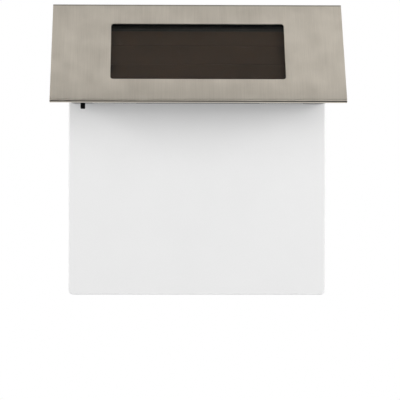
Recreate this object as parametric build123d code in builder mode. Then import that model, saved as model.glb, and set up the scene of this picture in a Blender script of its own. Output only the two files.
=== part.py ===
from build123d import *

import os
from math import atan2, cos, radians, sin, tan

# A solar wall light for a house number.
#
# A folded stainless hood carries a solar pane in its slope. Under it a black wedge-shaped
# housing holds the battery, two lit boards and a slide switch, and the light falls from the
# housing's underside onto an opal panel. A flat back plate closes both and hangs on two screws.
#
# Millimetres. X runs across the light, -Y points out from the wall and +Z is up. The origin
# is on the wall, midway between the round ends of the two keyholes.

os.makedirs("parts", exist_ok=True)

# Hood: one folded sheet. Its reach and drop run between the sharp corners of its section.
hood_width = 200.0
hood_reach = 57.5
hood_drop = 71.4
sheet = 0.6
bend_inside = 0.8
flange_height = 22.0
return_depth = 9.0
window_width = 119.0
window_length = 50.0
window_above_front = 20.7
window_corner = 2.0

# Back plate and its keyholes
plate = 2.5
plate_corner = 3.0
top_above_keyholes = 40.0
key_spacing = 120.0
key_head_r = 4.25
key_slot = 4.6
key_run = 7.0
rib = 1.4
plate_rib_height = 4.0
plate_rib_spacing = 42.0

# Number panel: an opal tray, open to the back plate
panel_width = 178.0
panel_height = 140.6
panel_depth = 12.0
panel_wall = 2.4
panel_rim = 2.2
panel_corner = 3.0
panel_edge = 1.2
panel_tuck = 8.0
panel_off_wall = 0.4

# Housing
housing_wall = 2.0
housing_floor = 2.4
housing_edge = 0.5
housing_tip = 6.0
nose_setback = 5.0
boss_past_screw = 2.0

# Solar pane, from the outside in
seal = 0.5
glass = 1.8
cell_layer = 0.25
backing = 0.25
pane_lap = 3.3
seal_margin = 0.4
cell_margin = 1.5
cell_pitch = 16.6
cell_count = 3
scribe = 0.3
busbar_shown = 3.4

# Battery bay, for one AA cell lying along X
battery_r = 7.1
battery_length = 50.5
battery_nub_r = 2.75
battery_nub = 1.4
sleeve = 0.15
can_edge = 0.3
bay_clearance = 0.5
bay_wall = 1.6
bay_below_pane = 1.1
battery_above_door = 0.55
contact = 0.4
contact_side = 10.0
contact_corner = 1.0
contact_tab = 3.0
tab_above_bay = 2.0
spring_room = 5.3
spring_r = 3.4
spring_wire_r = 0.4
spring_turns = 3

# Battery door
door = 2.0
door_gasket = 0.6
door_lap = 3.4
door_tab = 10.0
door_screw_inset = 4.0
door_corner = 3.0
door_ledge = 1.6
saddle_spacing = 28.0
saddle_height = 2.4
saddle_inset = 0.6

# Lights and boards, one set on each side of the battery door
light_beside_door = 3.7
light_length = 30.0
light_width = 16.0
light_window = 1.5
light_lap = 2.0
light_corner = 2.0
led_spacing = 13.0
led_r = 2.5
led_flange_r = 2.9
led_flange = 1.0
led_length = 8.6
led_sides = 12
led_dome_steps = (30, 55, 75)
board_length = 34.0
board_width = 21.0
board = 1.2
board_setback = 2.5
board_edge = 2.3
board_screw_inset = 3.0
board_rest_inset = 1.6
board_rest = 2.6

# What stands on the main board, each placed from the board's middle
chip_length = 5.0
chip_width = 4.0
chip_height = 1.6
chip_from_middle = (-6.0, -1.0)
choke_r = 3.2
choke_height = 5.0
choke_flange = 1.0
choke_waist = 0.9
choke_from_middle = (3.0, 1.0)
capacitor_r = 2.2
capacitor_height = 5.6
capacitor_edge = 0.4
capacitor_from_middle = (9.0, -4.0)

# Slide switch, beside the main board. Its knob starts at the outer end of its travel.
switch_beside_board = 3.5
switch_length = 8.6
switch_width = 4.4
switch_height = 4.7
switch_travel = 2.0
switch_wall = 1.4
switch_wall_height = 2.4
knob_length = 3.1
knob_width = 3.4
knob_reach = 3.9
knob_flange = 1.2
knob_edge = 0.25
pin_pitch = 2.5
pin_height = 1.4
pin_width = 0.7

# Screws: one self-tapping size for the case, one for the boards
screw_r = 1.2
screw_tip_r = 0.4
screw_length = 8.0
screw_head_r = 2.65
screw_sunk = 0.15
screw_hole_r = 1.5
screw_boss_r = 3.5
screw_sides = 12
screw_drive = 0.8
screw_drive_length = 3.2
small_screw_r = 0.75
small_screw_length = 5.7
small_head_r = 1.9
small_head = 1.1
small_head_edge = 0.4
case_screw_x = 80.0
top_screw_drop = 13.0
low_screw_drop = 54.0
panel_screw_inset = 13.0
panel_screw_top = 20.6

# Wires: insulated leads with these bends and standing heights
wire_r = 0.6
wire_sides = 6
wire_bend = 3.0
wire_from_edge = 1.5
solar_wires_apart = 4.0
solar_wires_off_middle = 7.0
solar_wire_out = 8.0
solar_wire_drop = 12.0
solar_wire_landing = 6.0
link_wires_back = 3.0
link_wires_apart = 2.5
link_bend = 3.5
switch_wire_low = 7.0
switch_wire_high = 10.0
switch_wire_bend = 2.0

# Clearances: round loose pieces, between fixed ones and in running fits
gap = 0.3
slip = 0.1
running = 0.05
past = 1.0

# Main places worked out from the sizes
slope = atan2(hood_reach, hood_drop)
top_z = top_above_keyholes
underside_z = top_z - hood_drop
back_y = -plate
front_y = back_y - hood_reach
flange_z = top_z - flange_height
return_y = front_y + return_depth
window_up = window_above_front + window_length / 2
window_top_up = window_above_front + window_length
skin = sheet + slip

panel_top_z = underside_z + panel_tuck
panel_bottom_z = panel_top_z - panel_height
panel_mid_z = (panel_top_z + panel_bottom_z) / 2
plate_width = panel_width - 2 * panel_rim - 2 * gap
bend_run = (sheet + bend_inside) / tan(slope / 2)
plate_top_z = top_z - bend_run - gap
plate_bottom_z = panel_bottom_z + panel_rim + gap
housing_width = plate_width

step_y = -panel_depth - 2 * slip
step_z = panel_top_z + 2 * slip
tip_z = top_z - housing_tip
nose_y = front_y + nose_setback
floor_z = underside_z + housing_floor

glass_depth = skin + housing_wall + seal
cell_depth = glass_depth + glass
pane_back = cell_depth + cell_layer + backing
pane_width = window_width + 2 * pane_lap
pane_length = window_length + 2 * pane_lap


def on_slope(depth):
    """The plane this far under the hood's slope: X across, its y up the slope from the front."""
    outward = (0, -cos(slope), sin(slope))
    return Plane(origin=(0, front_y, underside_z), x_dir=(1, 0, 0), z_dir=outward).offset(-depth)


def behind_wall(depth):
    """The plane this far out from the wall: X across, its y up."""
    return Plane.XZ.offset(depth)


def slope_z(y, depth):
    """The height of the layer this far under the slope, where it passes y."""
    up = (y - front_y - depth * cos(slope)) / sin(slope)
    return underside_z + up * cos(slope) - depth * sin(slope)


def slope_y(z, depth):
    """The place of the layer this far under the slope, where it passes z."""
    up = (z - underside_z + depth * sin(slope)) / cos(slope)
    return front_y + up * sin(slope) + depth * cos(slope)


def slope_spot(x, up, depth):
    """A point this far up the slope and this far under it."""
    y = front_y + up * sin(slope) + depth * cos(slope)
    return (x, y, underside_z + up * cos(slope) - depth * sin(slope))


# The battery bay lies on the floor and comes up close under the pane
bay_r = battery_r + bay_clearance
bay_length = battery_length + spring_room + 2 * contact
bay_z = underside_z + door + battery_r + battery_above_door
bay_y = slope_y(bay_z, pane_back + bay_below_pane + bay_wall + bay_r)
bay_top_z = bay_z + bay_r + bay_wall
battery_left = -bay_length / 2 + contact + spring_room

door_length = bay_length + 2 * door_tab
door_width = 2 * bay_r + 2 * door_lap
door_top_z = underside_z + door
ledge_z = door_top_z + door_gasket
ledge_top_z = ledge_z + door_ledge
door_screw_x = door_length / 2 - door_screw_inset
door_boss_top_z = underside_z + screw_length + boss_past_screw

light_x = door_length / 2 + light_beside_door + light_length / 2
light_y = bay_y
led_base_z = underside_z + light_window + gap + led_length
board_y = bay_y + board_setback
board_top_z = led_base_z + board
switch_x = -light_x - board_length / 2 - switch_beside_board
switch_top_z = floor_z + switch_height

case_screws_at = [
    (x, top_z - drop)
    for x in (-case_screw_x, case_screw_x)
    for drop in (top_screw_drop, low_screw_drop)
]
panel_screw_x = panel_width / 2 - panel_screw_inset
panel_screws_at = [
    (x, z)
    for x in (-panel_screw_x, panel_screw_x)
    for z in (panel_top_z - panel_screw_top, panel_bottom_z + panel_screw_inset)
]
door_screws_at = [(x, bay_y) for x in (-door_screw_x, door_screw_x)]
lights_at = [(x, light_y) for x in (-light_x, light_x)]
leds_at = [(x + side * led_spacing / 2, y) for x, y in lights_at for side in (-1, 1)]
board_screws_at = [
    (x + side * (board_length / 2 - board_screw_inset), board_y + board_width / 2 - board_edge)
    for x, _ in lights_at
    for side in (-1, 1)
]
board_rests_at = [
    (x + side * (board_length / 2 - board_rest_inset), board_y - board_width / 2 + board_edge)
    for x, _ in lights_at
    for side in (-1, 1)
]

wall_face = Plane(origin=(0, 0, 0), x_dir=(-1, 0, 0), z_dir=(0, 1, 0))
underside = Plane(origin=(0, 0, underside_z), x_dir=(1, 0, 0), z_dir=(0, 0, -1))
pieces = {}

# Hood: back flange, slope with its window, and a short return under the front edge
with BuildPart() as hood:
    with BuildSketch(Plane.YZ):
        with BuildLine():
            FilletPolyline(
                (back_y, flange_z),
                (back_y, top_z),
                (front_y, underside_z),
                (return_y, underside_z),
                radius=bend_inside + sheet,
            )
            offset(amount=sheet, side=Side.LEFT)
        make_face()
    extrude(amount=hood_width / 2, both=True)
    with BuildSketch(on_slope(0)):
        with Locations((0, window_up)):
            RectangleRounded(window_width, window_length, window_corner)
    extrude(amount=-2 * sheet, mode=Mode.SUBTRACT)
    with BuildSketch(behind_wall(plate)):
        with Locations(*[(x, z) for x, z in case_screws_at if z > flange_z]):
            Circle(screw_hole_r + slip)
    extrude(amount=2 * sheet, mode=Mode.SUBTRACT)
pieces["hood"] = hood

# Back plate: keyholes, countersunk screw holes, and ribs that stiffen it behind the panel
with BuildPart() as back_plate:
    with BuildSketch(wall_face):
        with Locations((0, (plate_top_z + plate_bottom_z) / 2)):
            RectangleRounded(plate_width, plate_top_z - plate_bottom_z, plate_corner)
        with Locations((-key_spacing / 2, 0), (key_spacing / 2, 0)):
            Circle(key_head_r, mode=Mode.SUBTRACT)
        with Locations((-key_spacing / 2, key_run / 2), (key_spacing / 2, key_run / 2)):
            SlotCenterToCenter(key_run, key_slot, rotation=90, mode=Mode.SUBTRACT)
    extrude(amount=-plate)
    rib_top_z = panel_top_z - panel_rim - gap - past
    rib_bottom_z = plate_bottom_z + past
    with BuildSketch(behind_wall(plate)):
        with Locations((0, (rib_top_z + rib_bottom_z) / 2)):
            with GridLocations(plate_rib_spacing, 1, 3, 1):
                Rectangle(rib, rib_top_z - rib_bottom_z)
            with GridLocations(1, plate_rib_spacing, 1, 2):
                Rectangle(2 * plate_rib_spacing, rib)
    extrude(amount=plate_rib_height)
    with Locations(wall_face):
        with Locations(*case_screws_at, *panel_screws_at):
            CounterSinkHole(screw_hole_r, screw_head_r + screw_sunk + slip, plate, 90)
pieces["back_plate"] = back_plate

# Number panel: opal tray with soft edges and four screw bosses. Its top rim clears the back plate.
with BuildPart() as number_panel:
    with BuildSketch(behind_wall(panel_off_wall)):
        with Locations((0, panel_mid_z)):
            RectangleRounded(panel_width, panel_height, panel_corner)
    extrude(amount=panel_depth - panel_off_wall)
    fillet(number_panel.faces().sort_by(Axis.Y)[0].edges(), panel_edge)
    with BuildSketch(behind_wall(panel_off_wall)):
        with Locations((0, panel_mid_z)):
            RectangleRounded(
                panel_width - 2 * panel_rim,
                panel_height - 2 * panel_rim,
                max(panel_corner - panel_rim, gap),
            )
    extrude(amount=panel_depth - panel_off_wall - panel_wall, mode=Mode.SUBTRACT)
    with BuildSketch(behind_wall(0)):
        with Locations((0, panel_top_z)):
            Rectangle(plate_width + 2 * gap, 2 * panel_rim + 2 * gap)
    extrude(amount=plate + slip, mode=Mode.SUBTRACT)
    with BuildSketch(behind_wall(plate)):
        with Locations(*panel_screws_at):
            Circle(screw_boss_r)
    extrude(amount=panel_depth - panel_wall - plate)
    with BuildSketch(behind_wall(plate)):
        with Locations(*panel_screws_at):
            Circle(screw_r + running)
    extrude(amount=screw_length + 2 * gap - plate, mode=Mode.SUBTRACT)
pieces["number_panel"] = number_panel

# The outer form of the housing, which trims everything inside it
with BuildPart() as wedge:
    with BuildSketch(Plane.YZ):
        with BuildLine():
            Polyline(
                (back_y, tip_z),
                (slope_y(tip_z, skin), tip_z),
                (nose_y, slope_z(nose_y, skin)),
                (nose_y, underside_z + skin),
                (return_y + gap, underside_z + skin),
                (return_y + gap, underside_z),
                (step_y, underside_z),
                (step_y, step_z),
                (back_y, step_z),
                close=True,
            )
        make_face()
    extrude(amount=housing_width / 2, both=True)
    fillet(wedge.edges().filter_by(Axis.Y).group_by(Axis.Z)[0], housing_edge)

with BuildPart() as housing:
    add(wedge.part)
    # The hollow, open at the back
    with BuildSketch(Plane.YZ):
        with BuildLine():
            inside = skin + housing_wall
            Polyline(
                (back_y, tip_z - housing_wall),
                (slope_y(tip_z - housing_wall, inside), tip_z - housing_wall),
                (nose_y + housing_wall, slope_z(nose_y + housing_wall, inside)),
                (nose_y + housing_wall, floor_z),
                (step_y - housing_wall, floor_z),
                (step_y - housing_wall, step_z + housing_wall),
                (back_y, step_z + housing_wall),
                close=True,
            )
        make_face()
    extrude(amount=housing_width / 2 - housing_wall, both=True, mode=Mode.SUBTRACT)
    # Ribs that locate the solar pane
    with BuildSketch(on_slope(inside)):
        with Locations((0, window_up)):
            Rectangle(pane_width + 2 * slip + 2 * rib, pane_length + 2 * slip + 2 * rib)
            Rectangle(pane_width + 2 * slip, pane_length + 2 * slip, mode=Mode.SUBTRACT)
    extrude(amount=inside - pane_back)
    # Bosses for the screws from the back plate, each braced to the cheek beside it
    with BuildSketch(behind_wall(plate)):
        with Locations(*case_screws_at):
            Circle(screw_boss_r)
        cheek_x = (case_screw_x + housing_width / 2) / 2
        with Locations(*[(cheek_x if x > 0 else -cheek_x, z) for x, z in case_screws_at]):
            Rectangle(housing_width / 2 - case_screw_x, rib)
    extrude(amount=screw_length + boss_past_screw)
    # Battery bay: an arch on the floor with closed ends
    with BuildSketch(Plane.YZ):
        with Locations((bay_y, (bay_z + floor_z) / 2)):
            Rectangle(2 * bay_r + 2 * bay_wall, bay_z - floor_z)
        with Locations((bay_y, bay_z)):
            Circle(bay_r + bay_wall)
    extrude(amount=bay_length / 2 + bay_wall, both=True)
    # The thicker seat round the door, with a boss for each door screw
    with BuildSketch(Plane.XY.offset(floor_z)):
        with Locations((0, bay_y)):
            Rectangle(door_length + 2 * bay_wall, door_width + 2 * bay_wall)
    extrude(amount=ledge_top_z - floor_z)
    with BuildSketch(Plane.XY.offset(ledge_top_z)):
        with Locations(*door_screws_at):
            Circle(screw_boss_r)
    extrude(amount=door_boss_top_z - ledge_top_z)
    # Posts under the boards: two with screws at the back, two plain ones at the front
    with BuildSketch(Plane.XY.offset(floor_z)):
        with Locations(*board_screws_at):
            Circle(board_edge)
        with Locations(*board_rests_at):
            Rectangle(board_rest, board_rest)
    extrude(amount=led_base_z - floor_z)
    # Low walls that hold the slide switch
    with BuildSketch(Plane.XY.offset(floor_z)):
        with Locations((switch_x, light_y)):
            Rectangle(
                switch_length + 2 * slip + 2 * switch_wall,
                switch_width + 2 * slip + 2 * switch_wall,
            )
            Rectangle(switch_length + 2 * slip, switch_width + 2 * slip, mode=Mode.SUBTRACT)
    extrude(amount=switch_wall_height)
    add(wedge.part, mode=Mode.INTERSECT)
    # Relief for the hood's flange
    with BuildSketch(behind_wall(plate)):
        with Locations((0, (tip_z + past + flange_z - gap) / 2)):
            Rectangle(housing_width + past, tip_z + past - flange_z + gap)
    extrude(amount=skin, mode=Mode.SUBTRACT)
    # Opening under the hood's window
    with BuildSketch(on_slope(sheet)):
        with Locations((0, window_up)):
            RectangleRounded(window_width + 2 * gap, window_length + 2 * gap, window_corner + gap)
    extrude(amount=-housing_wall - 2 * slip, mode=Mode.SUBTRACT)
    # Inside of the battery bay, through the floor
    with BuildSketch(Plane.YZ):
        with Locations((bay_y, (bay_z + underside_z - past) / 2)):
            Rectangle(2 * bay_r, bay_z - underside_z + past)
        with Locations((bay_y, bay_z)):
            Circle(bay_r)
    extrude(amount=bay_length / 2, both=True, mode=Mode.SUBTRACT)
    # A slot in the arch at each end for the contact's solder tab
    with BuildSketch(Plane.XY.offset(bay_z)):
        tab_slot_x = bay_length / 2 - contact / 2 - slip / 2
        with Locations((-tab_slot_x, bay_y), (tab_slot_x, bay_y)):
            Rectangle(contact + slip, contact_tab + 2 * slip)
    extrude(amount=bay_r + bay_wall + past, mode=Mode.SUBTRACT)
    # Recess for the door and its gasket
    with BuildSketch(Plane.XY.offset(underside_z)):
        with Locations((0, bay_y)):
            RectangleRounded(door_length + 2 * gap, door_width + 2 * gap, door_corner + gap)
    extrude(amount=door + door_gasket, mode=Mode.SUBTRACT)
    # Recess and opening for each light window
    with BuildSketch(Plane.XY.offset(underside_z)):
        with Locations(*lights_at):
            RectangleRounded(light_length + 2 * slip, light_width + 2 * slip, light_corner + slip)
    extrude(amount=light_window, mode=Mode.SUBTRACT)
    with BuildSketch(Plane.XY.offset(underside_z)):
        with Locations(*lights_at):
            Rectangle(light_length - 2 * light_lap, light_width - 2 * light_lap)
    extrude(amount=housing_floor + slip, mode=Mode.SUBTRACT)
    # Slot for the switch knob
    with BuildSketch(Plane.XY.offset(underside_z)):
        with Locations((switch_x, light_y)):
            Rectangle(knob_length + switch_travel + 2 * gap, knob_width + 2 * gap)
    extrude(amount=housing_floor, mode=Mode.SUBTRACT)
    # Pilot holes for the case, door and board screws
    with BuildSketch(behind_wall(plate)):
        with Locations(*case_screws_at):
            Circle(screw_r + running)
    extrude(amount=screw_length + 2 * gap - plate, mode=Mode.SUBTRACT)
    with BuildSketch(Plane.XY.offset(ledge_z)):
        with Locations(*door_screws_at):
            Circle(screw_r + running)
    extrude(amount=underside_z + screw_length + 2 * gap - ledge_z, mode=Mode.SUBTRACT)
    with BuildSketch(Plane.XY.offset(led_base_z)):
        with Locations(*board_screws_at):
            Circle(small_screw_r + running)
    extrude(amount=board - small_screw_length - gap, mode=Mode.SUBTRACT)
pieces["housing"] = housing

# Solar pane: seal, glass, the cell strips with their busbar, and the coat behind them
with BuildPart() as pane_seal:
    with BuildSketch(on_slope(inside)):
        with Locations((0, window_up)):
            Rectangle(pane_width - 2 * seal_margin, pane_length - 2 * seal_margin)
            Rectangle(
                window_width + 2 * gap + 2 * seal_margin,
                window_length + 2 * gap + 2 * seal_margin,
                mode=Mode.SUBTRACT,
            )
    extrude(amount=-seal)
pieces["pane_seal"] = pane_seal

with BuildPart() as solar_glass:
    with BuildSketch(on_slope(glass_depth)):
        with Locations((0, window_up)):
            RectangleRounded(pane_width, pane_length, gap)
    extrude(amount=-glass)
pieces["solar_glass"] = solar_glass

cell_width = pane_width - 2 * cell_margin
busbar_low_up = window_top_up - busbar_shown
busbar_high_up = window_up + pane_length / 2 - cell_margin
with BuildPart() as solar_cells:
    with BuildSketch(on_slope(cell_depth)):
        for strip in range(cell_count):
            high_up = window_top_up - strip * cell_pitch - scribe / 2
            low_up = high_up - cell_pitch + scribe
            if strip == 0:
                high_up = busbar_low_up
            with Locations((0, (high_up + low_up) / 2)):
                Rectangle(cell_width, high_up - low_up)
    extrude(amount=-cell_layer)
pieces["solar_cells"] = solar_cells

with BuildPart() as busbar:
    with BuildSketch(on_slope(cell_depth)):
        with Locations((0, (busbar_low_up + busbar_high_up) / 2)):
            Rectangle(cell_width, busbar_high_up - busbar_low_up)
    extrude(amount=-cell_layer)
pieces["busbar"] = busbar

with BuildPart() as cell_backing:
    with BuildSketch(on_slope(cell_depth + cell_layer)):
        with Locations((0, window_up)):
            Rectangle(pane_width, pane_length)
    extrude(amount=-backing)
pieces["cell_backing"] = cell_backing

# Light windows, flush with the underside
with BuildPart() as light_windows:
    with BuildSketch(Plane.XY.offset(underside_z)):
        with Locations(*lights_at):
            RectangleRounded(light_length, light_width, light_corner)
    extrude(amount=light_window)
pieces["light_windows"] = light_windows

# Lamps: flanged and domed, hanging from the boards. They are drawn with few sides, and each
# dome steps round to its tip.
with BuildPart() as lamp:
    with BuildSketch(Plane.XY):
        RegularPolygon(led_flange_r, led_sides)
    extrude(amount=-led_flange)
    with BuildSketch(Plane.XY):
        RegularPolygon(led_r, led_sides)
    with BuildSketch(Plane.XY.offset(led_r - led_length)):
        RegularPolygon(led_r, led_sides)
    for angle in led_dome_steps:
        with BuildSketch(Plane.XY.offset(led_r - led_length - led_r * sin(radians(angle)))):
            RegularPolygon(led_r * cos(radians(angle)), led_sides)
    loft(ruled=True)

with BuildPart() as leds:
    with Locations(*[(x, y, led_base_z) for x, y in leds_at]):
        add(lamp.part)
pieces["leds"] = leds

# Boards, and what stands on the main one
for name, (x, _) in zip(("main_board", "right_board"), lights_at):
    with BuildPart() as circuit_board:
        with BuildSketch(Plane.XY.offset(led_base_z)):
            with Locations((x, board_y)):
                Rectangle(board_length, board_width)
            with Locations(*board_screws_at):
                Circle(small_screw_r + slip, mode=Mode.SUBTRACT)
        extrude(amount=board)
    pieces[name] = circuit_board

with BuildPart() as board_screw:
    for radius, height in (
        (small_head_r, 0),
        (small_head_r, small_head - small_head_edge),
        (small_head_r - small_head_edge, small_head),
    ):
        with BuildSketch(Plane.XY.offset(height)):
            RegularPolygon(radius, screw_sides)
    loft(ruled=True)
    with BuildSketch(Plane.XY):
        RegularPolygon(small_screw_r, screw_sides)
    extrude(amount=-small_screw_length)

with BuildPart() as board_screws:
    with Locations(*[(x, y, board_top_z) for x, y in board_screws_at]):
        add(board_screw.part)
pieces["board_screws"] = board_screws


def on_main_board(from_middle):
    """A place on the main board, given from its middle."""
    return (from_middle[0] - light_x, from_middle[1] + board_y)


with BuildPart() as driver_chip:
    with BuildSketch(Plane.XY.offset(board_top_z)):
        with Locations(on_main_board(chip_from_middle)):
            Rectangle(chip_length, chip_width)
    extrude(amount=chip_height)
pieces["driver_chip"] = driver_chip

with BuildPart() as choke:
    with BuildSketch(Plane.XY.offset(board_top_z)):
        with Locations(on_main_board(choke_from_middle)):
            Circle(choke_r)
    extrude(amount=choke_height)
    with BuildSketch(Plane.XY.offset(board_top_z + choke_flange)):
        with Locations(on_main_board(choke_from_middle)):
            Circle(choke_r)
            Circle(choke_r - choke_waist, mode=Mode.SUBTRACT)
    extrude(amount=choke_height - 2 * choke_flange, mode=Mode.SUBTRACT)
pieces["choke"] = choke

with BuildPart() as capacitor:
    with BuildSketch(Plane.XY.offset(board_top_z)):
        with Locations(on_main_board(capacitor_from_middle)):
            Circle(capacitor_r)
    extrude(amount=capacitor_height)
    chamfer(capacitor.edges().group_by(Axis.Z)[-1], capacitor_edge)
pieces["capacitor"] = capacitor

# Slide switch: a body on the floor, three pins on top, and the knob that hangs through the slot
knob_x = switch_x - switch_travel / 2
knob_top_z = floor_z + knob_flange
with BuildPart() as switch_body:
    with BuildSketch(Plane.XY.offset(floor_z)):
        with Locations((switch_x, light_y)):
            Rectangle(switch_length, switch_width)
    extrude(amount=switch_height)
    with BuildSketch(Plane.XY.offset(floor_z)):
        with Locations((switch_x, light_y)):
            Rectangle(knob_length + switch_travel + 2 * gap, knob_width + gap)
    extrude(amount=knob_flange + gap, mode=Mode.SUBTRACT)
pieces["switch_body"] = switch_body

with BuildPart() as switch_pins:
    with BuildSketch(Plane.XY.offset(switch_top_z)):
        with Locations((switch_x, light_y)):
            with GridLocations(pin_pitch, 1, 3, 1):
                Rectangle(pin_width, contact)
    extrude(amount=pin_height)
pieces["switch_pins"] = switch_pins

with BuildPart() as switch_knob:
    with BuildSketch(Plane.XY.offset(underside_z - knob_reach)):
        with Locations((knob_x, light_y)):
            Rectangle(knob_length, knob_width)
    extrude(amount=knob_top_z - underside_z + knob_reach)
    chamfer(switch_knob.faces().sort_by(Axis.Z)[0].edges(), knob_edge)
pieces["switch_knob"] = switch_knob

# Battery: a steel can with its nub towards +X, and the plain tube of its sleeve
can_r = battery_r - sleeve
can_length = battery_length - battery_nub
with BuildPart() as battery_can:
    with BuildSketch(Plane.YZ.offset(battery_left)):
        with Locations((bay_y, bay_z)):
            Circle(can_r)
    extrude(amount=can_length)
    chamfer(battery_can.edges().filter_by(GeomType.CIRCLE), can_edge)
    with BuildSketch(Plane.YZ.offset(battery_left + can_length)):
        with Locations((bay_y, bay_z)):
            Circle(battery_nub_r)
    extrude(amount=battery_nub)
pieces["battery_can"] = battery_can

with BuildPart() as battery_sleeve:
    with BuildSketch(Plane.YZ.offset(battery_left + can_edge)):
        with Locations((bay_y, bay_z)):
            Circle(battery_r)
            Circle(can_r, mode=Mode.SUBTRACT)
    extrude(amount=can_length - 2 * can_edge)
pieces["battery_sleeve"] = battery_sleeve

# Contacts: a plate at each end of the bay with a tab up through the arch, and a coil spring
tab_top_z = bay_top_z + tab_above_bay
for name, side in (("negative_contact", -1), ("positive_contact", 1)):
    with BuildPart() as contact_plate:
        with BuildSketch(Plane.YZ.offset(side * bay_length / 2)):
            with Locations((bay_y, bay_z)):
                RectangleRounded(contact_side, contact_side, contact_corner)
            with Locations((bay_y, (bay_z + tab_top_z) / 2)):
                Rectangle(contact_tab, tab_top_z - bay_z)
        extrude(amount=-side * contact)
    pieces[name] = contact_plate

spring_start = -bay_length / 2 + contact + spring_wire_r + running
spring_height = spring_room - 2 * spring_wire_r - 2 * running
with BuildPart() as contact_spring:
    with BuildLine() as coil:
        Helix(
            pitch=spring_height / spring_turns,
            height=spring_height,
            radius=spring_r,
            center=(spring_start, bay_y, bay_z),
            direction=(1, 0, 0),
        )
    with BuildSketch(Plane(origin=coil.line @ 0, z_dir=coil.line % 0)):
        RegularPolygon(spring_wire_r, wire_sides)
    sweep(path=coil.line, is_frenet=True)
pieces["contact_spring"] = contact_spring

# Battery door: countersunk for its screws, with two saddles that hold the cell up
with BuildPart() as battery_door:
    with BuildSketch(Plane.XY.offset(underside_z)):
        with Locations((0, bay_y)):
            RectangleRounded(door_length, door_width, door_corner)
    extrude(amount=door)
    with BuildSketch(Plane.XY.offset(door_top_z)):
        with Locations((0, bay_y)):
            with GridLocations(saddle_spacing, 1, 2, 1):
                Rectangle(rib, 2 * bay_r - 2 * saddle_inset)
    extrude(amount=saddle_height)
    with BuildSketch(Plane.YZ):
        with Locations((bay_y, bay_z)):
            Circle(battery_r + gap)
    extrude(amount=door_length / 2, both=True, mode=Mode.SUBTRACT)
    with Locations(underside):
        with Locations(*[(x, -y) for x, y in door_screws_at]):
            CounterSinkHole(screw_hole_r, screw_head_r + screw_sunk + slip, door, 90)
pieces["battery_door"] = battery_door

with BuildPart() as gasket:
    with BuildSketch(Plane.XY.offset(door_top_z)):
        with Locations((0, bay_y)):
            RectangleRounded(door_length - 2 * gap, door_width - 2 * gap, door_corner - gap)
            Rectangle(bay_length + 2 * gap, 2 * bay_r + 2 * gap, mode=Mode.SUBTRACT)
        with Locations(*door_screws_at):
            Circle(screw_hole_r + slip, mode=Mode.SUBTRACT)
    extrude(amount=door_gasket)
pieces["door_gasket"] = gasket

# Countersunk self-tapping screw, its head just under the origin and its point down -Z. Screws
# are drawn with few sides.
with BuildPart() as case_screw:
    for radius, depth in (
        (screw_head_r, screw_sunk),
        (screw_r, screw_sunk + screw_head_r - screw_r),
        (screw_r, screw_length - screw_r),
        (screw_tip_r, screw_length),
    ):
        with BuildSketch(Plane.XY.offset(-depth)):
            RegularPolygon(radius, screw_sides)
    loft(ruled=True)
    with BuildSketch(Plane.XY.offset(-screw_sunk)):
        Rectangle(screw_drive_length, screw_drive)
        Rectangle(screw_drive, screw_drive_length)
    extrude(amount=-screw_drive, mode=Mode.SUBTRACT)

for name, face, spots in (
    ("housing_screws", wall_face, case_screws_at),
    ("panel_screws", wall_face, panel_screws_at),
    ("door_screws", underside, [(x, -y) for x, y in door_screws_at]),
):
    with BuildPart() as screws:
        with Locations(face):
            with Locations(*spots):
                add(case_screw.part)
    pieces[name] = screws


def run_wires(name, bend, *routes):
    """Insulated wires, each along its corner points with one bend radius, drawn with few sides."""
    with BuildPart() as wires:
        for corners in routes:
            with BuildLine() as path:
                FilletPolyline(*corners, radius=bend)
            with BuildSketch(Plane(origin=path.line @ 0, z_dir=path.line % 0)):
                RegularPolygon(wire_r, wire_sides)
            sweep(path=path.line)
    pieces[name] = wires


# The pane's two wires leave its back square to it and drop onto the main board
solar_up = window_up + pane_length / 5
landing_y = board_y + solar_wire_landing
for name, side in (("solar_wire_minus", -1), ("solar_wire_plus", 1)):
    x = solar_wires_off_middle - light_x + side * solar_wires_apart / 2
    solar_route = [
        slope_spot(x, solar_up, pane_back),
        slope_spot(x, solar_up, pane_back + solar_wire_out),
        (x, landing_y, board_top_z + solar_wire_drop),
        (x, landing_y, board_top_z),
    ]
    run_wires(name, wire_bend, solar_route)

# The battery's two leave the contact tabs, each towards the board on its side
battery_wire_z = tab_top_z - tab_above_bay / 2
inner_x = light_x - board_length / 2 + wire_from_edge
for name, side in (("battery_wire_minus", -1), ("battery_wire_plus", 1)):
    battery_route = [
        (side * (bay_length / 2 + running), bay_y, battery_wire_z),
        (side * inner_x, bay_y, battery_wire_z),
        (side * inner_x, bay_y, board_top_z),
    ]
    run_wires(name, wire_bend, battery_route)

# Two wires link the boards over the bay
link_z = battery_wire_z + 2 * wire_r
link_routes = [
    [(-inner_x, y, board_top_z), (-inner_x, y, link_z), (inner_x, y, link_z), (inner_x, y, board_top_z)]
    for y in (bay_y + link_wires_back, bay_y + link_wires_back + link_wires_apart)
]
run_wires("link_wires", link_bend, *link_routes)

# Two wires run from the switch's outer and middle pins to the board
pin_top_z = switch_top_z + pin_height
outer_x = -light_x - board_length / 2 + wire_from_edge
switch_routes = [
    [
        (pin_x, light_y, pin_top_z),
        (pin_x, light_y, pin_top_z + rise),
        (end_x, light_y, pin_top_z + rise),
        (end_x, light_y, board_top_z),
    ]
    for pin_x, end_x, rise in (
        (switch_x, outer_x, switch_wire_low),
        (switch_x - pin_pitch, outer_x + switch_wire_high - switch_wire_low, switch_wire_high),
    )
]
run_wires("switch_wires", switch_wire_bend, *switch_routes)

for name, piece in pieces.items():
    piece.part.label = name
    export_step(piece.part, f"parts/{name}.step")
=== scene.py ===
from math import cos, radians, sin, tau

import bmesh
import bpy
from mathutils import Matrix, Vector


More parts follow.
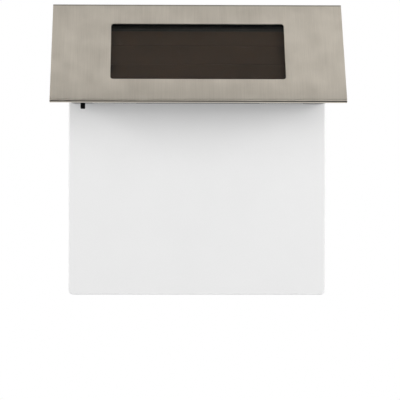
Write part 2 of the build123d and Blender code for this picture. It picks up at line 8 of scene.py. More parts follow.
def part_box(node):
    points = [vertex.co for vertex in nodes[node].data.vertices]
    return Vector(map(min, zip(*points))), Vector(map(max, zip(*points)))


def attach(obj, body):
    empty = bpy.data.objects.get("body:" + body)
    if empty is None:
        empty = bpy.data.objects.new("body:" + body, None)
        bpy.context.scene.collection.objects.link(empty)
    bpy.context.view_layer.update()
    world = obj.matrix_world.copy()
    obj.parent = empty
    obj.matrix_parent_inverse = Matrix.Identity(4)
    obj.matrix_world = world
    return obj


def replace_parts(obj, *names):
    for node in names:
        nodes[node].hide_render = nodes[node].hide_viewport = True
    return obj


# A solar wall light: folded stainless hood, black moulded housing, opal number panel.
# Everything is in metres, in the frame of the CAD model: the wall is Y = 0, the front is -Y.
# Sizes on the object itself are written in mm, and MM turns them to metres.

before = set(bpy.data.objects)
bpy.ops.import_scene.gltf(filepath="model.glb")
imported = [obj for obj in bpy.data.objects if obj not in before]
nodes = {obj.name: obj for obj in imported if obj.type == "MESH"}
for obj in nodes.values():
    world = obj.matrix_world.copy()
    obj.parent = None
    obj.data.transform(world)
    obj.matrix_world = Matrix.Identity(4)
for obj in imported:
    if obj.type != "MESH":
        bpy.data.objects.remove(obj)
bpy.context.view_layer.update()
scene = bpy.context.scene
scene.view_settings.view_transform = "Standard"
MM = 0.001


def in_mm(node):
    """The lowest and highest corners of a CAD node at rest, in mm."""
    low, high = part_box(node)
    return low / MM, high / MM


# Camera: the photograph's viewpoint, fitted to the corners of the hood, its window and the panel

IMAGE_SIZE = 400
FOCAL_PIXELS = 2200.0
SENSOR_WIDTH = 36
CAMERA_MM = (-28.3, -1537.0, -56.7)
YAW, PITCH, ROLL = radians(1.140), radians(1.555), radians(0.116)
NEAREST, FARTHEST = 0.05, 50


def place_camera():
    """A camera that looks along +Y, turned a little to the right, down and about its own axis."""
    forward = Vector((sin(YAW) * cos(PITCH), cos(YAW) * cos(PITCH), -sin(PITCH)))
    level = Vector((cos(YAW), -sin(YAW), 0))
    upright = level.cross(forward)
    right = cos(ROLL) * level + sin(ROLL) * upright
    up = -sin(ROLL) * level + cos(ROLL) * upright
    lens = bpy.data.cameras.new("camera")
    lens.sensor_width = SENSOR_WIDTH
    lens.lens = FOCAL_PIXELS * SENSOR_WIDTH / IMAGE_SIZE
    lens.clip_start = NEAREST
    lens.clip_end = FARTHEST
    camera = bpy.data.objects.new("camera", lens)
    turn = Matrix((right, up, -forward)).transposed().to_4x4()
    camera.matrix_world = Matrix.Translation(Vector(CAMERA_MM) * MM) @ turn
    scene.collection.objects.link(camera)
    scene.camera = camera


place_camera()

# Colours, nodes and materials


def srgb(colour):
    """A hex colour as the linear values that a shader takes."""
    parts = [int(colour[i : i + 2], 16) / 255 for i in (1, 3, 5)]
    return (*(p / 12.92 if p <= 0.04045 else ((p + 0.055) / 1.055) ** 2.4 for p in parts), 1)


def add(tree, kind, sockets=None, **settings):
    """A new node with its settings; each socket gets a value, or a link from (node, output)."""
    node = tree.nodes.new("ShaderNode" + kind)
    for name, value in settings.items():
        setattr(node, name, value)
    for socket, value in (sockets or {}).items():
        if isinstance(value, tuple) and isinstance(value[0], bpy.types.Node):
            tree.links.new(value[0].outputs[value[1]], node.inputs[socket])
        else:
            node.inputs[socket].default_value = value
    return node


def new_finish(name, **sockets):
    """A material with one Principled shader; returns the material, its tree and the shader."""
    material = bpy.data.materials.new(name)
    material.use_nodes = True
    tree = material.node_tree
    shader = tree.nodes["Principled BSDF"]
    for socket, value in sockets.items():
        shader.inputs[socket.replace("_", " ")].default_value = value
    return material, tree, shader


def dress(material, *names):
    """Gives the named CAD nodes this one material."""
    for name in names:
        nodes[name].data.materials.clear()
        nodes[name].data.materials.append(material)


# World and lamps: a white studio with a darker ceiling, and a darker room behind the camera

# Bounds of a ray's direction: from room to backdrop along Y, from wall to ceiling along Z, and from the
# bright lower half to the dim upper half along Z
ROOM_ENDS, BACKDROP_STARTS = -0.3, 0.5
WALL_ENDS, CEILING_STARTS = 0.3, 0.7
BRIGHT_ENDS, DIM_STARTS = 0.0, 0.4
# Strengths, where 1 is white: what lights the object from below and above, and what metal and glass show
FROM_BELOW, FROM_ABOVE = 1.07, 0.1
ROOM, CEILING, CEILING_IN_GLASS = 0.05, 0.25, 0.1


def make_world():
    """White for the eye; metal and glass show that white behind, the room in front and the ceiling above."""
    world = bpy.data.worlds.new("studio")
    scene.world = world
    world.use_nodes = True
    tree = world.node_tree
    tree.nodes.clear()
    path = add(tree, "LightPath")
    place = add(tree, "TexCoord")
    way = add(tree, "SeparateXYZ", {0: (place, "Generated")})
    backdrop = add(
        tree,
        "MapRange",
        {
            "Value": (way, "Y"),
            "From Min": ROOM_ENDS,
            "From Max": BACKDROP_STARTS,
            "To Min": ROOM,
            "To Max": 1.0,
        },
    )
    ceiling = add(
        tree,
        "MapRange",
        {
            "Value": (way, "Z"),
            "From Min": WALL_ENDS,
            "From Max": CEILING_STARTS,
            "To Min": 1.0,
            "To Max": CEILING,
        },
    )
    glazed = add(
        tree,
        "MapRange",
        {
            "Value": (way, "Z"),
            "From Min": WALL_ENDS,
            "From Max": CEILING_STARTS,
            "To Min": 1.0,
            "To Max": CEILING_IN_GLASS,
        },
    )
    seen = add(tree, "Math", {0: (backdrop, 0), 1: (ceiling, 0)}, operation="MULTIPLY")
    soft = add(
        tree,
        "MapRange",
        {
            "Value": (way, "Z"),
            "From Min": BRIGHT_ENDS,
            "From Max": DIM_STARTS,
            "To Min": FROM_BELOW,
            "To Max": FROM_ABOVE,
        },
    )
    mirrored = add(tree, "Mix", {"Factor": (path, "Is Glossy Ray"), "A": (soft, 0), "B": (seen, 0)})
    strength = add(
        tree, "Mix", {"Factor": (path, "Is Transmission Ray"), "A": (mirrored, 0), "B": (glazed, 0)}
    )
    studio = add(tree, "Background", {"Color": srgb("#FFFFFF"), "Strength": (strength, 0)})
    white = add(tree, "Background", {"Color": srgb("#FFFFFF"), "Strength": 1.0})
    surface = add(tree, "MixShader", {0: (path, "Is Camera Ray"), 1: (studio, 0), 2: (white, 0)})
    add(tree, "OutputWorld", {"Surface": (surface, 0)})


def add_lamp(name, place, aim, width, height, watts):
    """A flat soft box at one point, aimed at another, with its width level; all in metres."""
    light = bpy.data.lights.new(name, "AREA")
    light.shape = "RECTANGLE"
    light.size = width
    light.size_y = height
    light.energy = watts
    lamp = bpy.data.objects.new(name, light)
    lamp.location = place
    lamp.rotation_mode = "QUATERNION"
    lamp.rotation_quaternion = (Vector(aim) - Vector(place)).to_track_quat("-Z", "Y")
    lamp.visible_camera = False
    scene.collection.objects.link(lamp)


# Where the lamps aim
HOOD, PANEL = (0, 0, 0), (0, 0, -0.08)

make_world()
add_lamp("left_lamp", (-1.7, -0.9, 0.48), PANEL, width=1.0, height=0.9, watts=12.4)
add_lamp("right_lamp", (1.7, -0.9, 0.48), PANEL, width=1.0, height=0.9, watts=11.8)
add_lamp("front_right_lamp", (0.75, -1.7, 0.45), PANEL, width=0.7, height=0.8, watts=5)
add_lamp("top_left_lamp", (-0.85, 0.03, 1.3), HOOD, width=0.8, height=0.4, watts=4.1)
add_lamp("top_right_lamp", (0.85, 0.03, 1.3), HOOD, width=0.8, height=0.4, watts=5.15)

# Floor, in metres; FLOOR_PALE is the share of its look that is plain pale

FLOOR_RADIUS, FLOOR_Z = 1.8, -2.2
FLOOR_CLOUD = 0.06
FLOOR_SIDES = 96
FLOOR_PALE = 0.7


def make_floor():
    """A round pale floor, as far below the light as under a porch wall, where it takes the light's shadow."""
    disc = bmesh.new()
    bmesh.ops.create_circle(disc, cap_ends=True, segments=FLOOR_SIDES, radius=FLOOR_RADIUS)
    mesh = bpy.data.meshes.new("floor")
    disc.to_mesh(mesh)
    disc.free()
    floor = bpy.data.objects.new("floor", mesh)
    floor.location = (0, 0, FLOOR_Z)
    scene.collection.objects.link(floor)
    # Painted board: nearly white, dull, and faintly cloudy where the roller went
    material, tree, shader = new_finish("painted_pale_board", Roughness=0.8)
    place = add(tree, "TexCoord")
    cloud = add(tree, "TexNoise", {"Vector": (place, "Object"), "Scale": 1 / FLOOR_CLOUD})
    tone = add(tree, "ValToRGB", {0: (cloud, 0)})
    dark_end, light_end = tone.color_ramp.elements
    dark_end.color = srgb("#F1F1F0")
    light_end.color = srgb("#F5F5F4")
    tree.links.new(tone.outputs[0], shader.inputs["Base Color"])
    # For the eye and in metal and glass the board is pale, and still takes the shadow
    path = add(tree, "LightPath")
    near = add(tree, "Math", {0: (path, "Is Camera Ray"), 1: (path, "Is Glossy Ray")}, operation="ADD")
    seen = add(
        tree, "Math", {0: (near, 0), 1: (path, "Is Transmission Ray")}, operation="ADD", use_clamp=True
    )
    share = add(tree, "Math", {0: (seen, 0), 1: FLOOR_PALE}, operation="MULTIPLY")
    pale = add(tree, "Emission", {"Color": srgb("#FAFAF9"), "Strength": 1.0})
    surface = add(tree, "MixShader", {0: (share, 0), 1: (shader, 0), 2: (pale, 0)})
    tree.links.new(surface.outputs[0], tree.nodes["Material Output"].inputs["Surface"])
    mesh.materials.append(material)


make_floor()

# Finishes: pattern sizes in mm, from the real surface

# A noise texture's values lie mostly between the first two; a tone turns over between the last two
NOISE_LOW, NOISE_HIGH = 0.3, 0.7
TONE_LOW, TONE_HIGH = 0.35, 0.65


def brushed_stainless():
    """Stainless sheet, belt-brushed up and down: fine grain that spreads reflections sideways, with painted
    shade and highlights along its folds.
    """
    roughness, spread = 0.42, 0.04
    material, tree, shader = new_finish(
        "brushed_stainless", Metallic=1.0, Roughness=roughness, Anisotropic=0.8, Anisotropic_Rotation=0.25
    )
    low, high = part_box("hood")
    place = add(tree, "TexCoord")
    along = add(tree, "Tangent", direction_type="RADIAL", axis="X")
    # Brush lines are 0.05 mm apart; they are drawn 0.5 mm apart, so that they show
    line_gap, line_length, line_depth = 0.5 * MM, 22 * MM, 0.02 * MM
    lines = add(
        tree,
        "VectorMath",
        {0: (place, "Object"), 1: (1 / line_gap, 1 / line_length, 1 / line_length)},
        operation="MULTIPLY",
    )
    grain = add(tree, "TexNoise", {"Vector": (lines, 0), "Scale": 1.0, "Detail": 3.0})
    # Soft clouding left by the belt
    cloud_size = 14 * MM
    cloud = add(tree, "TexNoise", {"Vector": (place, "Object"), "Scale": 1 / cloud_size, "Detail": 2.0})
    mixed = add(tree, "Mix", {"Factor": 0.5, "A": (grain, 0), "B": (cloud, 0)})
    tone = add(tree, "ValToRGB", {0: (mixed, 0)})
    dark_end, light_end = tone.color_ramp.elements
    dark_end.position, light_end.position = NOISE_LOW, NOISE_HIGH
    dark_end.color = srgb("#CCC4B7")
    light_end.color = srgb("#DBD3C6")
    # Painted light along the two folds: the sheet is painted a little darker towards both, as painted shade,
    # with a painted dark line along the lower fold and a painted dark edge at the upper one, and painted
    # highlight beside the lower line. Heights are shares of the hood's, from its lowest point.
    height = add(tree, "SeparateXYZ", {0: (place, "Object")})
    rise = add(tree, "MapRange", {"Value": (height, "Z"), "From Min": low.z, "From Max": high.z})
    painted_fold_light = add(tree, "ValToRGB", {0: (rise, 0)})
    lower_end, upper_end = painted_fold_light.color_ramp.elements
    lower_end.color = srgb("#FFFFFF")
    upper_end.color = srgb("#C6C6C6")
    # Stops from the bottom up: painted highlight, painted dark line, painted highlight, painted shade fading
    # out, and the painted dark edge at the top
    for share, shade in (
        (0.0075, "#FFFFFF"),
        (0.0088, "#444444"),
        (0.0163, "#444444"),
        (0.0178, "#FFFFFF"),
        (0.028, "#FFFFFF"),
        (0.034, "#EEEEEE"),
        (0.22, "#FFFFFF"),
        (0.85, "#FFFFFF"),
        (0.984, "#F9F9F9"),
        (0.989, "#C6C6C6"),
    ):
        painted_fold_light.color_ramp.elements.new(share).color = srgb(shade)
    # The painted shade and highlights multiply the steel's tone
    shaded = add(
        tree, "Mix", {"Factor": 1.0, "A": (tone, 0), "B": (painted_fold_light, 0)}, data_type="RGBA", blend_type="MULTIPLY"
    )
    rough = add(
        tree,
        "MapRange",
        {
            "Value": (mixed, 0),
            "From Min": NOISE_LOW,
            "From Max": NOISE_HIGH,
            "To Min": roughness - spread,
            "To Max": roughness + spread,
        },
    )
    bump = add(tree, "Bump", {"Height": (grain, 0), "Strength": 0.15, "Distance": line_depth})
    tree.links.new(shaded.outputs["Result"], shader.inputs["Base Color"])
    tree.links.new(rough.outputs[0], shader.inputs["Roughness"])
    tree.links.new(bump.outputs[0], shader.inputs["Normal"])
    tree.links.new(along.outputs[0], shader.inputs["Tangent"])
    return material


def moulded_surface(name, dark, light, grain_mm, roughness, texture, gloss=0.5):
    """A moulded, pressed, sprayed or extruded surface: a fine grain, and a tone that wanders a little."""
    material, tree, shader = new_finish(name, Roughness=roughness, IOR=1.54, Specular_IOR_Level=gloss)
    # Real grain of this kind is 0.02 to 0.1 mm; each grain_mm is drawn coarser, so that it shows
    cloud_size, grain_depth, spread = 25 * MM, 0.03 * MM, 0.06
    place = add(tree, "TexCoord")
    grain = add(
        tree, "TexNoise", {"Vector": (place, "Object"), "Scale": 1 / (grain_mm * MM), "Detail": 3.0}
    )
    cloud = add(tree, "TexNoise", {"Vector": (place, "Object"), "Scale": 1 / cloud_size, "Detail": 2.0})
    mixed = add(tree, "Mix", {"Factor": 0.5, "A": (grain, 0), "B": (cloud, 0)})
    tone = add(tree, "ValToRGB", {0: (mixed, 0)})
    dark_end, light_end = tone.color_ramp.elements
    dark_end.position, light_end.position = TONE_LOW, TONE_HIGH
    dark_end.color = srgb(dark)
    light_end.color = srgb(light)
    rough = add(
        tree,
        "MapRange",
        {
            "Value": (grain, 0),
            "From Min": NOISE_LOW,
            "From Max": NOISE_HIGH,
            "To Min": roughness - spread,
            "To Max": roughness + spread,
        },
    )
    bump = add(tree, "Bump", {"Height": (grain, 0), "Strength": texture, "Distance": grain_depth})
    tree.links.new(tone.outputs[0], shader.inputs["Base Color"])
    tree.links.new(rough.outputs[0], shader.inputs["Roughness"])
    tree.links.new(bump.outputs[0], shader.inputs["Normal"])
    return material


def plated_metal(name, dark, light, roughness, mottle_mm):
    """Plated or tinned metal: slightly cloudy, with duller spots where the plating is thin."""
    material, tree, shader = new_finish(name, Metallic=1.0, Roughness=roughness)
    brighter, duller = 0.06, 0.08
    place = add(tree, "TexCoord")
    mottle = add(
        tree, "TexNoise", {"Vector": (place, "Object"), "Scale": 1 / (mottle_mm * MM), "Detail": 4.0}
    )
    tone = add(tree, "ValToRGB", {0: (mottle, 0)})
    dark_end, light_end = tone.color_ramp.elements
    dark_end.position, light_end.position = TONE_LOW, TONE_HIGH
    dark_end.color = srgb(dark)
    light_end.color = srgb(light)
    rough = add(
        tree,
        "MapRange",
        {
            "Value": (mottle, 0),
            "From Min": NOISE_LOW,
            "From Max": NOISE_HIGH,
            "To Min": roughness - brighter,
            "To Max": roughness + duller,
        },
    )
    tree.links.new(tone.outputs[0], shader.inputs["Base Color"])
    tree.links.new(rough.outputs[0], shader.inputs["Roughness"])
    return material


def clear_part(name, colour, ior, roughness, wave_mm):
    """Glass, polycarbonate or epoxy: clear, with the slight waviness of its making."""
    material, tree, shader = new_finish(
        name, Base_Color=srgb(colour), Roughness=roughness, IOR=ior, Transmission_Weight=1.0
    )
    wave_depth = 0.05 * MM
    place = add(tree, "TexCoord")
    wave = add(tree, "TexNoise", {"Vector": (place, "Object"), "Scale": 1 / (wave_mm * MM), "Detail": 1.0})
    bump = add(tree, "Bump", {"Height": (wave, 0), "Strength": 0.04, "Distance": wave_depth})
    tree.links.new(bump.outputs[0], shader.inputs["Normal"])
    return material


def battery_wrap():
    """Film shrunk on the cell: glossy green, pulled slightly wavy, with a pale band at the button end."""
    material, tree, shader = new_finish("shrunk_battery_wrap", Roughness=0.28, IOR=1.54)
    button_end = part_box("battery_sleeve")[1].x
    band_start, band_full = button_end - 6.6 * MM, button_end - 6.5 * MM
    wave_size, wave_depth = 4 * MM, 0.05 * MM
    place = add(tree, "TexCoord")
    along = add(tree, "SeparateXYZ", {0: (place, "Object")})
    band = add(tree, "MapRange", {"Value": (along, "X"), "From Min": band_start, "From Max": band_full})
    wave = add(tree, "TexNoise", {"Vector": (place, "Object"), "Scale": 1 / wave_size, "Detail": 1.0})
    film = add(tree, "ValToRGB", {0: (wave, 0)})
    dark_end, light_end = film.color_ramp.elements
    dark_end.color = srgb("#4A8A57")
    light_end.color = srgb("#5A9C67")
    print_on = add(
        tree, "Mix", {"Factor": (band, 0), "A": (film, 0), "B": srgb("#D5D6CF")}, data_type="RGBA"
    )
    bump = add(tree, "Bump", {"Height": (wave, 0), "Strength": 0.1, "Distance": wave_depth})
    tree.links.new(print_on.outputs["Result"], shader.inputs["Base Color"])
    tree.links.new(bump.outputs[0], shader.inputs["Normal"])
    return material


def masked_laminate():
    """Glass-fibre laminate under green solder mask: long copper tracks show as paler, raised lines."""
    material, tree, shader = new_finish("solder_masked_laminate", Roughness=0.35, IOR=1.5)
    copper_thick = 0.035 * MM
    place = add(tree, "TexCoord")
    # The lines between long bricks are the tracks; with this scale the sizes are mm
    tracks = add(
        tree,
        "TexBrick",
        {
            "Vector": (place, "Object"),
            "Color1": srgb("#154428"),
            "Color2": srgb("#18492C"),
            "Mortar": srgb("#22603A"),
            "Scale": 1 / MM,
            "Mortar Size": 0.22,
            "Brick Width": 23.0,
            "Row Height": 1.9,
        },
        offset=0.3,
        offset_frequency=3,
    )
    bump = add(tree, "Bump", {"Height": (tracks, "Fac"), "Strength": 0.4, "Distance": copper_thick})
    tree.links.new(tracks.outputs["Color"], shader.inputs["Base Color"])
    tree.links.new(bump.outputs[0], shader.inputs["Normal"])
    return material


dress(brushed_stainless(), "hood")

# Moulded ABS with a spark texture: deep black face on, and greyer where it is seen along its face.
# The texture traps light, so the gloss is halved.
black_abs = moulded_surface(
    "moulded_black_abs", "#060607", "#0D0D0E", grain_mm=0.35, roughness=0.35, texture=0.3, gloss=0.25
)
dress(black_abs, "housing", "back_plate", "battery_door")

# Moulded nylon: the same black, a little waxier
knob_nylon = moulded_surface(
    "black_nylon_knob", "#060607", "#0C0C0D", grain_mm=0.3, roughness=0.5, texture=0.3, gloss=0.25
)
dress(knob_nylon, "switch_knob")

# Opal acrylic with a satin face: milk white with broad, weak highlights and hardly any grain
opal = moulded_surface("opal_acrylic", "#EAEAEA", "#ECECEC", grain_mm=1.2, roughness=0.42, texture=0.05)
dress(opal, "number_panel")

# Tin-plated steel: a pale, slightly cloudy grey
tin_plate = plated_metal("tinned_steel_can", "#A9A9A6", "#C4C4C0", roughness=0.32, mottle_mm=0.8)
dress(tin_plate, "switch_body")

# Brass dipped in tin: yellowish where the tin is thin
tinned_brass = plated_metal("tinned_brass", "#C9BE9A", "#D8D2BC", roughness=0.3, mottle_mm=0.5)
dress(tinned_brass, "switch_pins")

# Zinc-plated steel: a cool grey with a fine mottle
zinc = plated_metal("zinc_plated_steel", "#B1B4B6", "#C2C4C5", roughness=0.3, mottle_mm=0.8)
dress(zinc, "board_screws", "housing_screws", "panel_screws", "door_screws")

# Nickel plating on drawn and on stamped steel: bright and warm, clouded by handling
nickel_can = plated_metal("nickel_plated_can", "#B9B7B0", "#CCCAC4", roughness=0.25, mottle_mm=2.0)
dress(nickel_can, "battery_can")
nickel_spring = plated_metal("nickel_spring_steel", "#BDB9AF", "#D2CFC6", roughness=0.22, mottle_mm=1.2)
dress(nickel_spring, "negative_contact", "positive_contact", "contact_spring")

# Float glass: so flat that reflections only swim a little
dress(clear_part("float_glass", "#F4F6F4", ior=1.5, roughness=0.03, wave_mm=30), "solar_glass")

# Moulded polycarbonate: clear, with short waves from the mould
dress(clear_part("clear_polycarbonate", "#F6F8F8", ior=1.585, roughness=0.03, wave_mm=6), "light_windows")

# Silicon film laid down as vapour: dark brown, smooth, its tone drifting slowly over the pane
silicon = moulded_surface(
    "amorphous_silicon_film", "#4B3B30", "#503F33", grain_mm=6, roughness=0.35, texture=0.0
)
dress(silicon, "solar_cells")

# Screen-printed silver paste under a dark mask: dull, with the print's fine grain
paste = moulded_surface(
    "silver_paste_under_mask", "#33302F", "#383533", grain_mm=0.5, roughness=0.6, texture=0.2
)
dress(paste, "busbar")

# Sprayed back coat: warm grey, with the grain of its droplets
back_coat = moulded_surface(
    "sprayed_back_coat", "#8E8A84", "#98948E", grain_mm=0.4, roughness=0.6, texture=0.4
)
dress(back_coat, "cell_backing")

# Foamed silicone rubber: dull black with fine pores
rubber = moulded_surface(
    "foamed_silicone_rubber", "#0C0C0C", "#141414", grain_mm=0.4, roughness=0.75, texture=0.6
)
dress(rubber, "pane_seal", "door_gasket")

dress(masked_laminate(), "main_board", "right_board")

# Chip body, moulded in filled epoxy: a dull black with the filler's grain
chip_epoxy = moulded_surface(
    "moulded_chip_epoxy", "#121213", "#1A1A1B", grain_mm=0.12, roughness=0.6, texture=0.4
)
dress(chip_epoxy, "driver_chip")

# Pressed and sintered ferrite: dark grey and slightly sandy
ferrite = moulded_surface("pressed_ferrite", "#232325", "#2E2E30", grain_mm=0.15, roughness=0.6, texture=0.5)
dress(ferrite, "choke")

# Shrunk sleeve on the capacitor: dark blue and smooth
sleeve = moulded_surface(
    "shrunk_capacitor_sleeve", "#16223E", "#1B2947", grain_mm=1.5, roughness=0.35, texture=0.1
)
dress(sleeve, "capacitor")

dress(battery_wrap(), "battery_sleeve")

# Extruded PVC round the wires: smooth, with a soft shine and a tone that wavers along the wire
red_pvc = moulded_surface("red_wire_pvc", "#A81D1A", "#B8231E", grain_mm=2.0, roughness=0.38, texture=0.1)
dress(red_pvc, "solar_wire_plus", "battery_wire_plus")
black_pvc = moulded_surface("black_wire_pvc", "#121212", "#191919", grain_mm=2.0, roughness=0.38, texture=0.1)
dress(black_pvc, "solar_wire_minus", "battery_wire_minus")
white_pvc = moulded_surface("white_wire_pvc", "#DDDBD6", "#E6E4DF", grain_mm=2.0, roughness=0.38, texture=0.1)
dress(white_pvc, "link_wires", "switch_wires")

# Pieces that the CAD model has only as plain forms: lamps, solder, screw threads and the knob's grip


def place_along(up, foot, x, y, height):
    """A point beside an axis that runs from foot along up; all in mm, given back in metres."""
    turn = Vector((0, 0, 1)).rotation_difference(Vector(up))
    return (Vector(foot) + turn @ Vector((x, y, height))) * MM


def turned(form, outline, foot, up=(0, 0, 1), sides=32, capped=True):
    """Adds a turned form, in mm, and returns its rings; the outline is (radius, height) along up."""
    rings = []
    for radius, height in outline:
        ring = []
        for side in range(sides):
            turn = tau * side / sides
            point = place_along(up, foot, radius * cos(turn), radius * sin(turn), height)
            ring.append(form.verts.new(point))
        rings.append(ring)
    for low, high in zip(rings, rings[1:]):
        for side in range(sides):
            after = (side + 1) % sides
            form.faces.new((low[side], low[after], high[after], high[side]))
    if capped:
        form.faces.new(rings[0])
    form.faces.new(rings[-1])
    return rings


def bar(form, low, high):
    """Adds a square-edged bar between two corners, in mm."""
    for corner in bmesh.ops.create_cube(form, size=1)["verts"]:
        corner.co = [(a + (b - a) * (c + 0.5)) * MM for a, b, c in zip(low, high, corner.co)]


def new_piece(name, form, material, body="root", sharp=40):
    """Turns a bmesh into a piece that rides on a CAD body."""
    bmesh.ops.recalc_face_normals(form, faces=form.faces)
    mesh = bpy.data.meshes.new(name)
    form.to_mesh(mesh)
    form.free()
    mesh.shade_smooth()
    mesh.set_sharp_from_angle(angle=radians(sharp))
    mesh.materials.append(material)
    piece = bpy.data.objects.new(name, mesh)
    scene.collection.objects.link(piece)
    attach(piece, body)
    return piece


# Lamps, in mm: round 5 mm ones, which point down from a foot against the board

LAMP_R, LAMP_BODY = 2.5, 6.1
FLANGE_R, FLANGE_THICK = 2.9, 1.0
FOOT_FLAT_R, TIP_FLAT_R = 0.2, 0.1
# Degrees between the rings of the domed tip
DOME_STEP = 12
LAMP_PITCH = 13.0
lamps_low, lamps_high = in_mm("leds")
LAMP_OUTER_X = lamps_high.x - FLANGE_R
LAMP_X = [side * (LAMP_OUTER_X - step) for side in (-1, 1) for step in (0, LAMP_PITCH)]
LAMP_Y = (lamps_low.y + lamps_high.y) / 2
LAMP_FOOT_Z = lamps_high.z
BOARD_TOP_Z = in_mm("main_board")[1].z

# The tinned frame inside, off the lamp's middle and down from its foot. Its strip is twice STRIP_HALF thick.
STRIP_HALF = 0.25
LEG_OFF, LEG_INSIDE, LEG_OUTSIDE = 1.27, 3.4, 0.9
POSTS_TOP = 3.3
CUP_POST, CUP_POST_END = (-1.6, 0.35), 4.6
FLAG_POST, FLAG_POST_END = (0.75, 1.6), 5.2
CUP_X, PHOSPHOR_DEPTH = -0.35, 5.5

# Outlines of small turned forms, as (radius, height)
CUP = ((0.5, 0), (0.95, -0.9), (0.8, -0.9), (0.45, -0.3))
PHOSPHOR = ((0.5, 0.35), (0.78, 0), (0.6, -0.25), (0.1, -0.35))
SOLDER = ((0.85, 0), (0.5, 0.25), (0.36, 0.7), (0.3, 0.75))


def make_lamps():
    """Four clear bodies round a tinned frame and a yellow phosphor, with legs soldered to the board."""
    shell = [(FOOT_FLAT_R, 0), (FLANGE_R, 0), (FLANGE_R, -FLANGE_THICK), (LAMP_R, -FLANGE_THICK)]
    shell.append((LAMP_R, -LAMP_BODY))
    for degrees in range(DOME_STEP, 90 - DOME_STEP, DOME_STEP):
        angle = radians(degrees)
        shell.append((LAMP_R * cos(angle), -LAMP_BODY - LAMP_R * sin(angle)))
    shell.append((TIP_FLAT_R, -LAMP_BODY - LAMP_R))
    bodies, frames, dyes, solder = bmesh.new(), bmesh.new(), bmesh.new(), bmesh.new()
    front, back = LAMP_Y - STRIP_HALF, LAMP_Y + STRIP_HALF
    posts_top = LAMP_FOOT_Z - POSTS_TOP
    for x in LAMP_X:
        turned(bodies, shell, (x, LAMP_Y, LAMP_FOOT_Z))
        for side in (-1, 1):
            leg = x + side * LEG_OFF
            leg_low = (leg - STRIP_HALF, front, LAMP_FOOT_Z - LEG_INSIDE)
            leg_high = (leg + STRIP_HALF, back, BOARD_TOP_Z + LEG_OUTSIDE)
            bar(frames, leg_low, leg_high)
            turned(solder, SOLDER, (leg, LAMP_Y, BOARD_TOP_Z), sides=16)
        # The wide post holds a cup with the chip; the narrow one ends in a flag that the bond wire lands on
        for (left, right), end in ((CUP_POST, CUP_POST_END), (FLAG_POST, FLAG_POST_END)):
            bar(frames, (x + left, front, LAMP_FOOT_Z - end), (x + right, back, posts_top))
        turned(frames, CUP, (x + CUP_X, LAMP_Y, LAMP_FOOT_Z - CUP_POST_END), sides=20)
        turned(dyes, PHOSPHOR, (x + CUP_X, LAMP_Y, LAMP_FOOT_Z - PHOSPHOR_DEPTH), sides=20)
    # Cast epoxy: clear and faintly yellow, with the smooth skin of its mould
    epoxy = clear_part("cast_epoxy", "#F7F7F0", ior=1.53, roughness=0.02, wave_mm=2)
    # Tinned strip: a bright grey with fine clouds
    tinned = plated_metal("tinned_lead_frame", "#B5B3AC", "#CBC9C2", roughness=0.28, mottle_mm=0.6)
    # Phosphor in clear gel: a yellow dot with a soft grain
    phosphor = moulded_surface(
        "yellow_phosphor_gel", "#E3C94A", "#EBD663", grain_mm=0.2, roughness=0.5, texture=0.2
    )
    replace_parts(new_piece("lamp_bodies", bodies, epoxy), "leds")
    new_piece("lamp_frames", frames, tinned)
    new_piece("lamp_phosphor", dyes, phosphor)
    # Tin solder, melted and set: bright and slightly frosted
    tin = plated_metal("tin_solder", "#B4B6B8", "#CDCFD0", roughness=0.24, mottle_mm=0.7)
    new_piece("lamp_solder", solder, tin)


# Screws, in mm: 2.9 mm self-tapping ones. Heights run from the head's face towards the tip.

HEAD_R, SCREW_R, TIP_R = 2.65, 1.15, 0.35
HEAD_EASE, RIM_START, RIM_END = 0.05, 0.08, 0.18
HEAD_DEPTH, SHANK_END, SCREW_END = 1.5, 6.6, 7.8
HEAD_SIDES = 40
THREAD_R, THREAD_PITCH = 1.45, 1.1
THREAD_ROOT_R, THREAD_HALF = SCREW_R - 0.05, 0.28
THREAD_START, THREAD_END = 2.2, 7.0
THREAD_STEPS, RUN_OUT_TURNS = 20, 0.5
DRIVE_LONG, DRIVE_WIDE, DRIVE_DEPTH, DRIVE_TAPER = 1.6, 0.42, 0.95, 0.55


def cut_drive(form, rim, foot, up):
    """Closes a screw's head with a cross recess that narrows as it goes in."""
    lower_arm = [(-DRIVE_WIDE, -DRIVE_LONG), (DRIVE_WIDE, -DRIVE_LONG), (DRIVE_WIDE, -DRIVE_WIDE)]
    quarter_turns = ((1, 0), (0, 1), (-1, 0), (0, -1))
    cross = [(x * c - y * s, x * s + y * c) for c, s in quarter_turns for x, y in lower_arm]
    mouth, floor = [], []
    for x, y in cross:
        mouth.append(form.verts.new(place_along(up, foot, x, y, 0)))
    for x, y in cross:
        floor.append(form.verts.new(place_along(up, foot, x * DRIVE_TAPER, y * DRIVE_TAPER, DRIVE_DEPTH)))
    for corner in range(len(cross)):
        after = (corner + 1) % len(cross)
        form.faces.new((mouth[corner], mouth[after], floor[after], floor[corner]))
    form.faces.new(floor)
    edges = [form.edges.get((ring[i - 1], ring[i])) for ring in (rim, mouth) for i in range(len(ring))]
    bmesh.ops.triangle_fill(form, edges=edges, use_beauty=True)


def cut_thread(form, foot, up):
    """Winds a raised thread round a screw's shank, running out at both ends."""
    turns = (THREAD_END - THREAD_START) / THREAD_PITCH
    before = None
    for step in range(round(turns * THREAD_STEPS) + 1):
        along = step / THREAD_STEPS
        turn = tau * along
        height = THREAD_START + along * THREAD_PITCH
        raised = min(1, along / RUN_OUT_TURNS, max(0, turns - along) / RUN_OUT_TURNS)
        crest = SCREW_R + (THREAD_R - SCREW_R) * raised
        profile = []
        for radius, rise in ((THREAD_ROOT_R, -THREAD_HALF), (crest, 0), (THREAD_ROOT_R, THREAD_HALF)):
            point = place_along(up, foot, radius * cos(turn), radius * sin(turn), height + rise)
            profile.append(form.verts.new(point))
        if before:
            for low, high in ((0, 1), (1, 2), (2, 0)):
                form.faces.new((before[low], profile[low], profile[high], before[high]))
        else:
            form.faces.new(profile)
        before = profile
    form.faces.new(before)


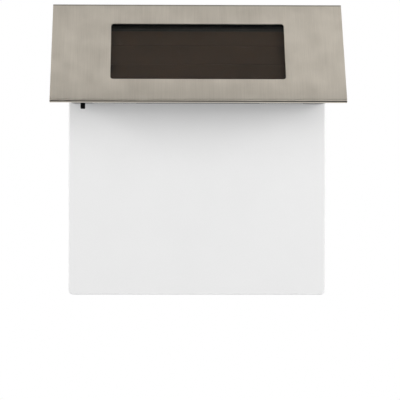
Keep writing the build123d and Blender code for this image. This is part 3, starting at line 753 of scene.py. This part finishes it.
def make_screws(name, feet, up, body, *replaced):
    """Countersunk self-tapping screws with a cross recess and a raised thread."""
    screws = bmesh.new()
    outline = [(HEAD_R - HEAD_EASE, 0), (HEAD_R, RIM_START), (HEAD_R, RIM_END), (SCREW_R, HEAD_DEPTH)]
    outline += [(SCREW_R, SHANK_END), (TIP_R, SCREW_END)]
    for foot in feet:
        rings = turned(screws, outline, foot, up, HEAD_SIDES, capped=False)
        cut_drive(screws, rings[0], foot, up)
        cut_thread(screws, foot, up)
    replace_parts(new_piece(name, screws, zinc, body), *replaced)


def place_screws():
    """Puts a threaded screw where each plain one is: a head's radius inside the box of its row."""
    low, high = in_mm("door_screws")
    door_feet = [(x, (low.y + high.y) / 2, low.z) for x in (low.x + HEAD_R, high.x - HEAD_R)]
    make_screws("threaded_door_screws", door_feet, (0, 0, 1), "battery_door", "door_screws")
    back_feet = []
    for row in ("housing_screws", "panel_screws"):
        low, high = in_mm(row)
        for x in (low.x + HEAD_R, high.x - HEAD_R):
            back_feet += [(x, high.y, z) for z in (high.z - HEAD_R, low.z + HEAD_R)]
    make_screws("threaded_case_screws", back_feet, (0, -1, 0), "root", "housing_screws", "panel_screws")


# The knob's grip, in mm: ridges moulded across its end

RIDGES, RIDGE_PITCH, RIDGE_R = 4, 0.62, 0.2
RIDGE_INSET = 0.35
# Degrees between the points of a ridge's half circle
RIDGE_STEP = 30


def make_knob_grip():
    """Half-round ridges across the end of the switch knob."""
    low, high = in_mm("switch_knob")
    arc = [radians(degrees) for degrees in range(180, 361, RIDGE_STEP)]
    grip = bmesh.new()
    for ridge in range(RIDGES):
        middle = (low.x + high.x) / 2 + (ridge - (RIDGES - 1) / 2) * RIDGE_PITCH
        ends = []
        for y in (low.y + RIDGE_INSET, high.y - RIDGE_INSET):
            points = [(middle + RIDGE_R * cos(a), y, low.z + RIDGE_R * sin(a)) for a in arc]
            ends.append([grip.verts.new(Vector(point) * MM) for point in points])
        front, back = ends
        for point in range(len(arc)):
            after = (point + 1) % len(arc)
            grip.faces.new((front[point], front[after], back[after], back[point]))
        grip.faces.new(front)
        grip.faces.new(back)
    new_piece("knob_grip", grip, knob_nylon, "switch_knob", sharp=60)


make_lamps()
place_screws()
make_knob_grip()

# Soft edges on the mouldings, and the sheet's edges eased by deburring, in mm

SOFT_EDGES = {"housing": 0.2, "back_plate": 0.25, "battery_door": 0.2, "number_panel": 0.3, "hood": 0.08}
SMOOTH_ANGLE, EDGE_ANGLE = radians(35), radians(50)

for node in nodes.values():
    node.data.shade_smooth()
    node.data.set_sharp_from_angle(angle=SMOOTH_ANGLE)

for name, width in SOFT_EDGES.items():
    soft = nodes[name].modifiers.new("soft_edges", "BEVEL")
    soft.width = width * MM
    soft.segments = 2
    soft.limit_method = "ANGLE"
    soft.angle_limit = EDGE_ANGLE

# A hair of air between the pane and what it touches, so that no two faces lie in one place
AIR_GAP = 0.04
shrink = nodes["solar_glass"].modifiers.new("air_gap", "DISPLACE")
shrink.strength = -AIR_GAP * MM
shrink.mid_level = 0.0
